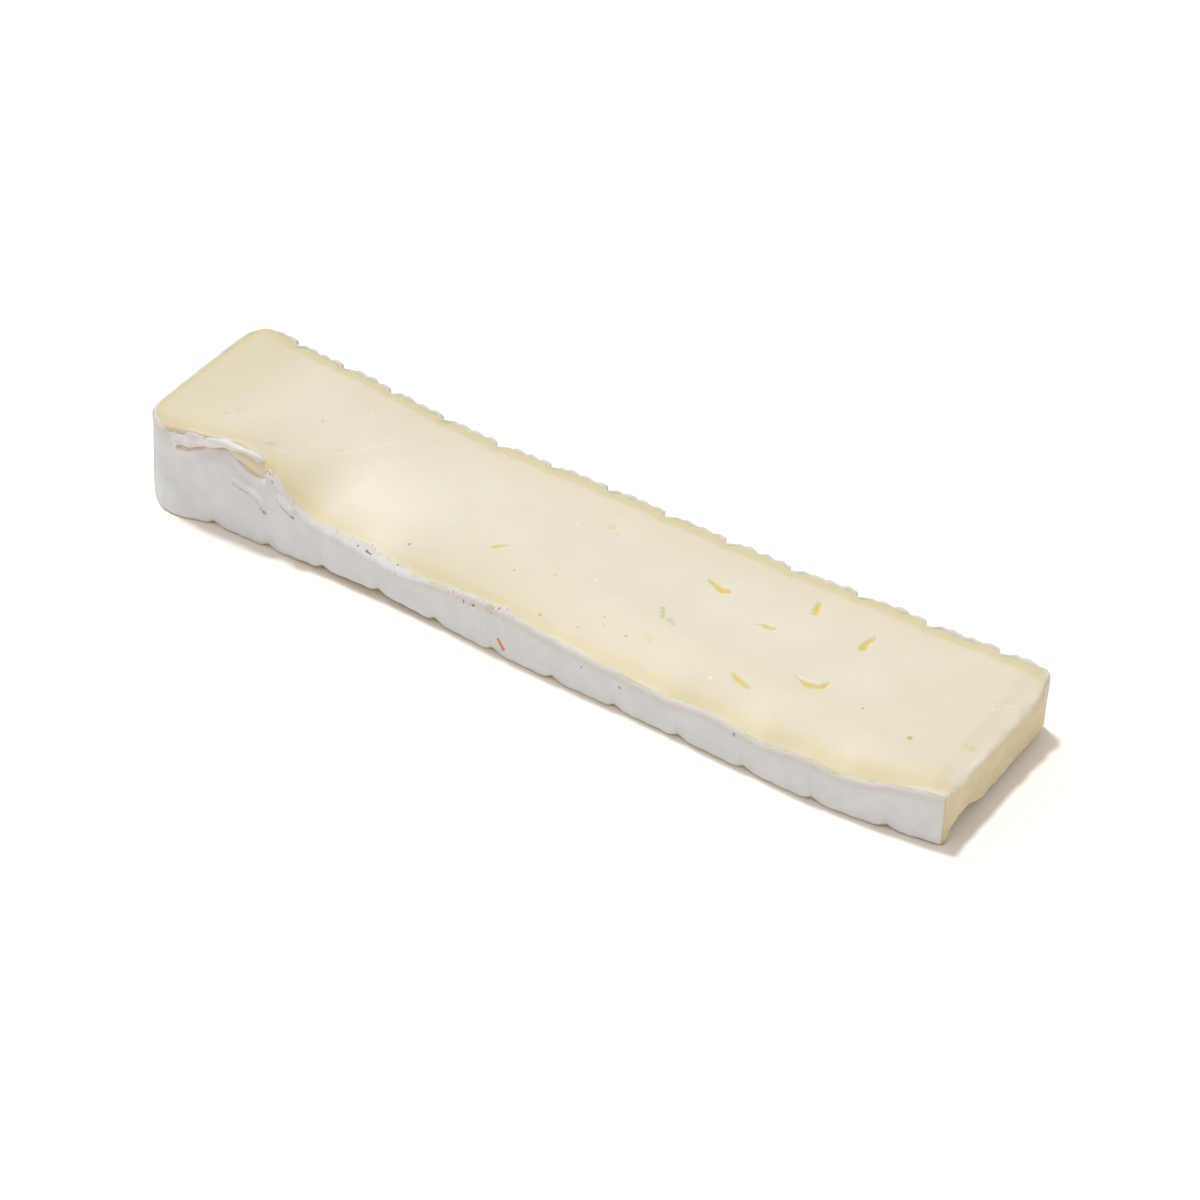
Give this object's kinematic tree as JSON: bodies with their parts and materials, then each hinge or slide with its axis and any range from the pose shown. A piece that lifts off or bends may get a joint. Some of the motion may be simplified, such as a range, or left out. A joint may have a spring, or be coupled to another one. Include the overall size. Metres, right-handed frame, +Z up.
{
  "type": "slice of soft white-rinded cheese",
  "caption": "Long bar-shaped slice of soft cheese with a ribbed white rind on both long sides and on its rounded end, and cut paste on top and at the other end.",
  "frame": {"origin": "under the middle of the slice's bounding box, on the surface that the slice lies on", "axes": "+X along the slice from the rounded rim end to the straight cut end, +Y across it from the front rind to the back rind, +Z up out of the cut top"},
  "size_m": [0.1692, 0.0388, 0.0203],
  "materials": {
    "cheese": "moist ivory paste with a dry white bloomy rind on the long sides and the rounded end"
  },
  "bodies": {
    "root": {"brie_log": "cheese"}
  },
  "joints": []
}
